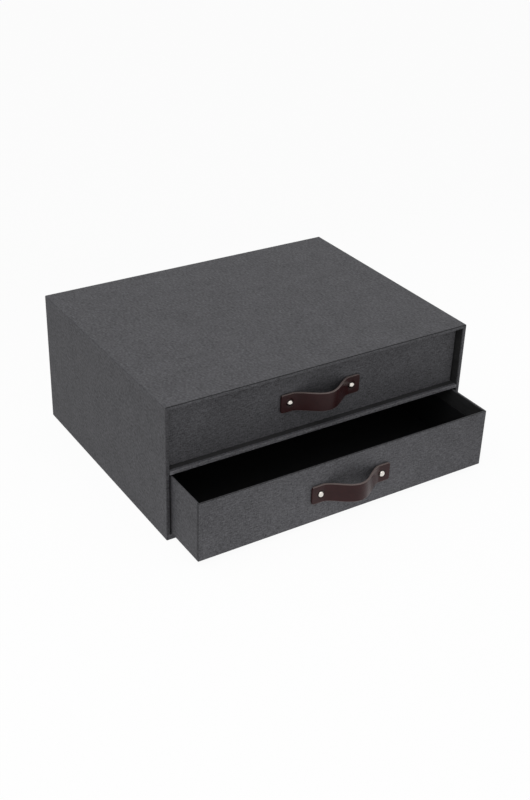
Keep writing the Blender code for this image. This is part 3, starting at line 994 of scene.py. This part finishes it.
def make_rivet(drawer, side):
    """One rivet: its head on the strap, its post through the board, and its cap inside."""
    node = drawer + "_" + side + "_rivet"
    low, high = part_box(node)
    cap_low, cap_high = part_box(node + "_cap")
    centre = Vector(((low.x + high.x) / 2, 0, (low.z + high.z) / 2))
    radius = (high.x - low.x) / 2
    post_radius = radius * RIVET_POST_SHARE
    strap_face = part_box(drawer + "_strap")[1].y - STRAP_LEATHER + DENT_DEPTH
    post = [(0.0, high.y), (post_radius, high.y), (post_radius, strap_face)]
    head = turned(node + "_head", post + domed(radius, strap_face, strap_face - low.y, -1), centre)
    finish_mesh(head, drawer, "nickel", NICKEL, node)

    cap_radius = (cap_high.x - cap_low.x) / 2
    socket_radius = post_radius + PAPER
    socket_end = high.y + PAPER
    socket = [(0.0, socket_end), (socket_radius, socket_end), (socket_radius, cap_low.y)]
    dome = domed(cap_radius, cap_low.y, cap_high.y - cap_low.y, 1)
    cap = turned(node + "_cap_plate", socket + dome, centre)
    finish_mesh(cap, drawer, "nickel", NICKEL, node + "_cap")


def dress_cad_nodes():
    """Gives every CAD node the finish of its slot."""
    finishes = {
        "linen_paper_board": LINEN,
        "black_lining_paper": LINING,
        "brown_leather": LEATHER,
        "nickel": NICKEL,
    }
    for part in frame["record"]["subparts"]:
        node = frame["nodes"][part["node"]]
        node.data.materials.clear()
        node.data.materials.append(finishes[part["material_slot"]])


# Studio

def white_for_the_camera(tree, seen, lit):
    """Mixes two shaders: seen is what the camera, metal and glass show, lit is what gives light."""
    ray = add(tree, "ShaderNodeLightPath").outputs
    looks = calculate(tree, "MAXIMUM", ray["Is Camera Ray"], ray["Is Glossy Ray"])
    looks = calculate(tree, "MAXIMUM", looks, ray["Is Transmission Ray"])
    return add(tree, "ShaderNodeMixShader", {0: looks, 1: lit, 2: seen}).outputs[0]


def white_light(tree, kind, strength):
    """A plain white emission or background shader."""
    return add(tree, kind, {"Color": (1, 1, 1, 1), "Strength": strength}).outputs[0]


def make_world():
    world = bpy.data.worlds.new("Studio")
    bpy.context.scene.world = world
    world.use_nodes = True
    tree = world.node_tree
    tree.nodes.clear()
    lit = white_light(tree, "ShaderNodeBackground", SURROUND_LIGHT)
    seen = white_light(tree, "ShaderNodeBackground", 1.0)
    leave = add(tree, "ShaderNodeOutputWorld")
    tree.links.new(white_for_the_camera(tree, seen, lit), leave.inputs["Surface"])


def white_floor_paint():
    """White where it is seen. As a light it is pale paint, with a glow painted into it in front of the case,
    which lights the drawers though it is no lamp.
    """
    material = bpy.data.materials.new("White floor")
    material.use_nodes = True
    tree = material.node_tree
    tree.nodes.clear()
    place = add(tree, "ShaderNodeTexCoord").outputs["Object"]
    tone = spread(
        tree,
        parts_of(tree, place)[1],
        low=FLOOR_PALE_UP_TO,
        high=FLOOR_DULL_FROM,
        to_low=FLOOR_PALE_TONE,
        to_high=FLOOR_DULL_TONE,
    )
    paint = add(tree, "ShaderNodeBsdfDiffuse", {"Color": vector_of(tree, tone, tone, tone)}).outputs[0]
    glow = white_light(tree, "ShaderNodeEmission", 1.0)
    seen = add(tree, "ShaderNodeMixShader", {0: FLOOR_WHITE_SHARE, 1: paint, 2: glow}).outputs[0]

    # Painted glow: the floor shines where the patch lies and fades out over its reach, though no lamp is there
    from_glow_patch = add(tree, "ShaderNodeVectorMath", {0: place, 1: FLOOR_GLOW_PLACE}, operation="SUBTRACT")
    from_glow_patch = stretched(tree, from_glow_patch.outputs[0], (FLOOR_GLOW_WIDENING, 1.0, 1.0))
    away = add(tree, "ShaderNodeVectorMath", {0: from_glow_patch}, operation="LENGTH").outputs["Value"]
    patch_strength = spread(tree, away, high=FLOOR_GLOW_REACH, to_low=FLOOR_GLOW_STRENGTH, to_high=0.0)
    patch_glow = white_light(tree, "ShaderNodeEmission", patch_strength)
    lit = add(tree, "ShaderNodeAddShader", {0: paint, 1: patch_glow}).outputs[0]
    leave = add(tree, "ShaderNodeOutputMaterial")
    tree.links.new(white_for_the_camera(tree, seen, lit), leave.inputs["Surface"])
    return material


def make_floor():
    shape = bmesh.new()
    bmesh.ops.create_grid(shape, x_segments=1, y_segments=1, size=FLOOR_REACH)
    mesh = bpy.data.meshes.new("floor")
    shape.to_mesh(mesh)
    shape.free()
    mesh.materials.append(white_floor_paint())
    floor = bpy.data.objects.new("floor", mesh)
    bpy.context.scene.collection.objects.link(floor)


def make_lamp():
    """One broad, square lamp that looks down at the case."""
    lamp = bpy.data.lights.new("Lamp over the case", "AREA")
    lamp.shape = "SQUARE"
    lamp.size = LAMP_SIZE
    lamp.energy = LAMP_POWER
    holder = bpy.data.objects.new("Lamp over the case", lamp)
    holder.location = LAMP_PLACE
    holder.rotation_euler = (LAMP_TARGET - LAMP_PLACE).to_track_quat("-Z", "Y").to_euler()
    bpy.context.scene.collection.objects.link(holder)


def make_camera():
    level = math.cos(CAMERA_DROP)
    ahead = Vector((math.sin(CAMERA_TURN) * level, math.cos(CAMERA_TURN) * level, -math.sin(CAMERA_DROP)))
    level_right = ahead.cross(Vector((0, 0, 1))).normalized()
    level_up = level_right.cross(ahead)
    right = level_right * math.cos(CAMERA_TILT) + level_up * math.sin(CAMERA_TILT)
    up = right.cross(ahead)
    data = bpy.data.cameras.new("Camera")
    data.lens = LENS_MM
    data.sensor_width = SENSOR_MM
    camera = bpy.data.objects.new("Camera", data)
    turn = Matrix((right, up, -ahead)).transposed().to_4x4()
    camera.matrix_world = Matrix.Translation(CAMERA_PLACE) @ turn
    bpy.context.scene.collection.objects.link(camera)
    bpy.context.scene.camera = camera


dress_cad_nodes()
make_case_shell()
make_case_sheets()
make_shelf_cover()
make_bay_lining("lower_bay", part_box("case_base")[1].z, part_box("middle_shelf")[0].z)
make_bay_lining("upper_bay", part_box("middle_shelf")[1].z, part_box("case_top")[0].z)
for drawer_name in ("upper_drawer", "lower_drawer"):
    make_front_panel(drawer_name)
    make_rim_band(drawer_name)
    make_strap(drawer_name)
    for rivet_side in ("left", "right"):
        make_rivet(drawer_name, rivet_side)

make_world()
make_floor()
make_lamp()
make_camera()
bpy.context.scene.view_settings.view_transform = "Standard"
